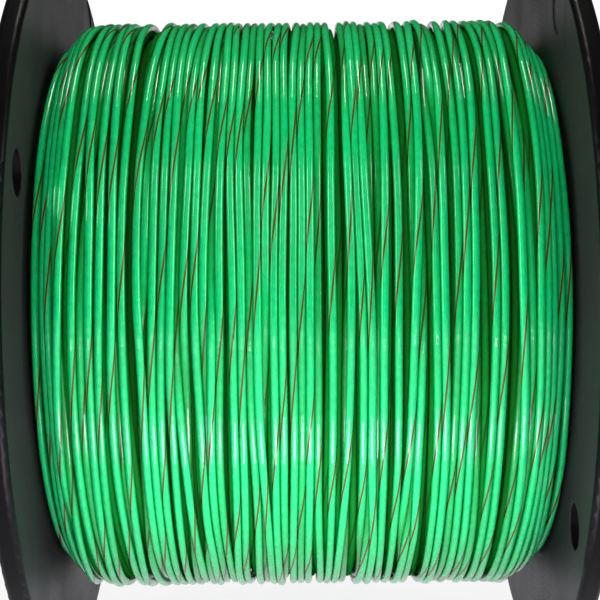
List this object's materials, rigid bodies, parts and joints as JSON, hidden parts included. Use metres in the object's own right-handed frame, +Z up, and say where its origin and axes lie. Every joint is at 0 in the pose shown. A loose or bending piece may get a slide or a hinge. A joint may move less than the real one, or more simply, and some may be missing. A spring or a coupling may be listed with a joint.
{
  "type": "wire spool",
  "caption": "Full spool of thin insulated wire: a barrel between ribbed moulded flanges, with an arbor hole and tie holes.",
  "frame": {"origin": "the middle of the spool, on its axis, halfway between the flanges", "axes": "+X along the axis towards the right flange, +Z up, and the side seen in the picture faces -Y"},
  "size_m": [0.117, 0.165, 0.165],
  "materials": {
    "spool_plastic": "satin black polystyrene, moulded",
    "wire_insulation": "glossy green vinyl with a thin brown spiral stripe"
  },
  "bodies": {
    "root": {"flange_left": "spool_plastic", "flange_right": "spool_plastic", "barrel": "spool_plastic", "winding_core": "wire_insulation", "winding_turns": "wire_insulation"}
  },
  "joints": []
}
